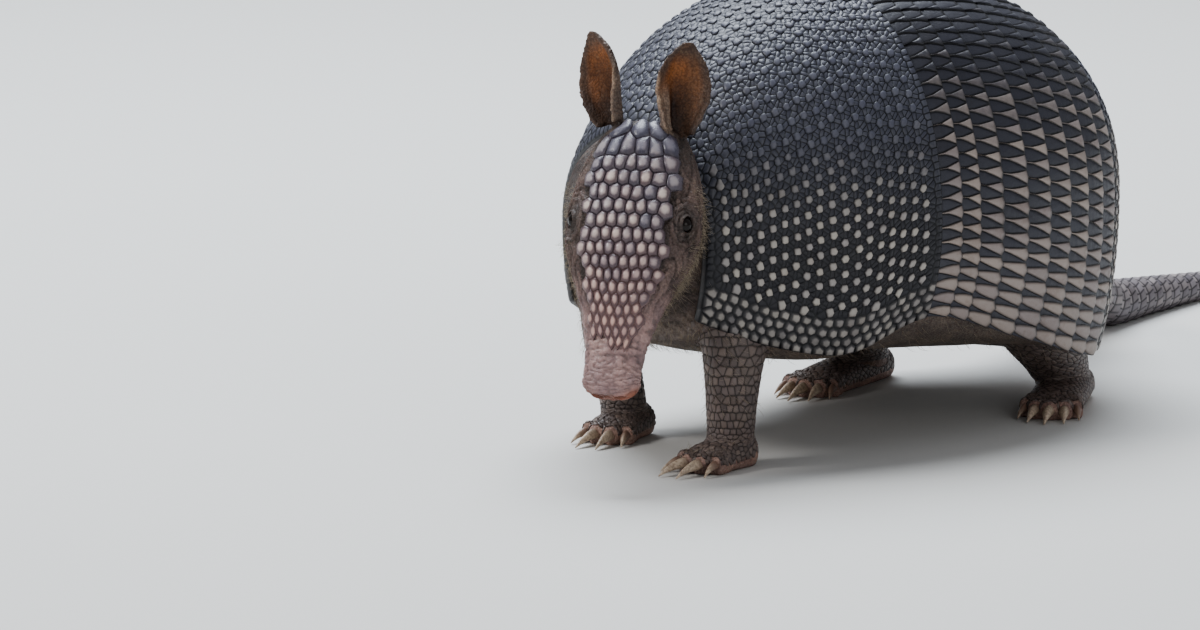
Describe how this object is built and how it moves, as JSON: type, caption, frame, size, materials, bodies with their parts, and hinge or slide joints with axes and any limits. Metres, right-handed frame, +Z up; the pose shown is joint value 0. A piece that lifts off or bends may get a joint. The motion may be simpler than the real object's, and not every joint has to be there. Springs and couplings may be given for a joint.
{
  "type": "nine-banded armadillo",
  "caption": "Armadillo at life size, standing with its head lowered and turned to its left; plated shields and bands over the back, ringed tail laid on the ground.",
  "frame": {"origin": "on the floor, below the middle of the whole animal", "axes": "+Z up; the head points along -Y and the tail along +Y; the animal's left is +X"},
  "size_m": [0.169, 0.7036, 0.195],
  "materials": {
    "shell": "horny scutes, dull to satin",
    "bands": "horny scutes, dull to satin",
    "face": "smooth horny scutes, satin",
    "skin": "wrinkled skin with small scales and a few bristles",
    "ear": "thin pebbled skin",
    "eye": "wet and glossy",
    "tail": "rings of horny scutes, dull",
    "claw": "worn horn"
  },
  "bodies": {
    "root": {"head": "skin", "head_shield": "face", "eye_left": "eye", "eye_right": "eye", "ear_left": "ear", "ear_right": "ear", "neck": "skin", "trunk": "skin", "scapular_shield": "shell", "band_1": "bands", "band_2": "bands", "band_3": "bands", "band_4": "bands", "band_5": "bands", "band_6": "bands", "band_7": "bands", "band_8": "bands", "band_9": "bands", "pelvic_shield": "shell", "tail_1": "tail", "tail_2": "tail", "tail_3": "tail", "tail_4": "tail", "leg_front_left": "skin", "foot_front_left": "skin", "claw_front_left_1": "claw", "claw_front_left_2": "claw", "claw_front_left_3": "claw", "claw_front_left_4": "claw", "leg_front_right": "skin", "foot_front_right": "skin", "claw_front_right_1": "claw", "claw_front_right_2": "claw", "claw_front_right_3": "claw", "claw_front_right_4": "claw", "leg_hind_left": "skin", "foot_hind_left": "skin", "claw_hind_left_1": "claw", "claw_hind_left_2": "claw", "claw_hind_left_3": "claw", "claw_hind_left_4": "claw", "claw_hind_left_5": "claw", "leg_hind_right": "skin", "foot_hind_right": "skin", "claw_hind_right_1": "claw", "claw_hind_right_2": "claw", "claw_hind_right_3": "claw", "claw_hind_right_4": "claw", "claw_hind_right_5": "claw"}
  },
  "joints": []
}
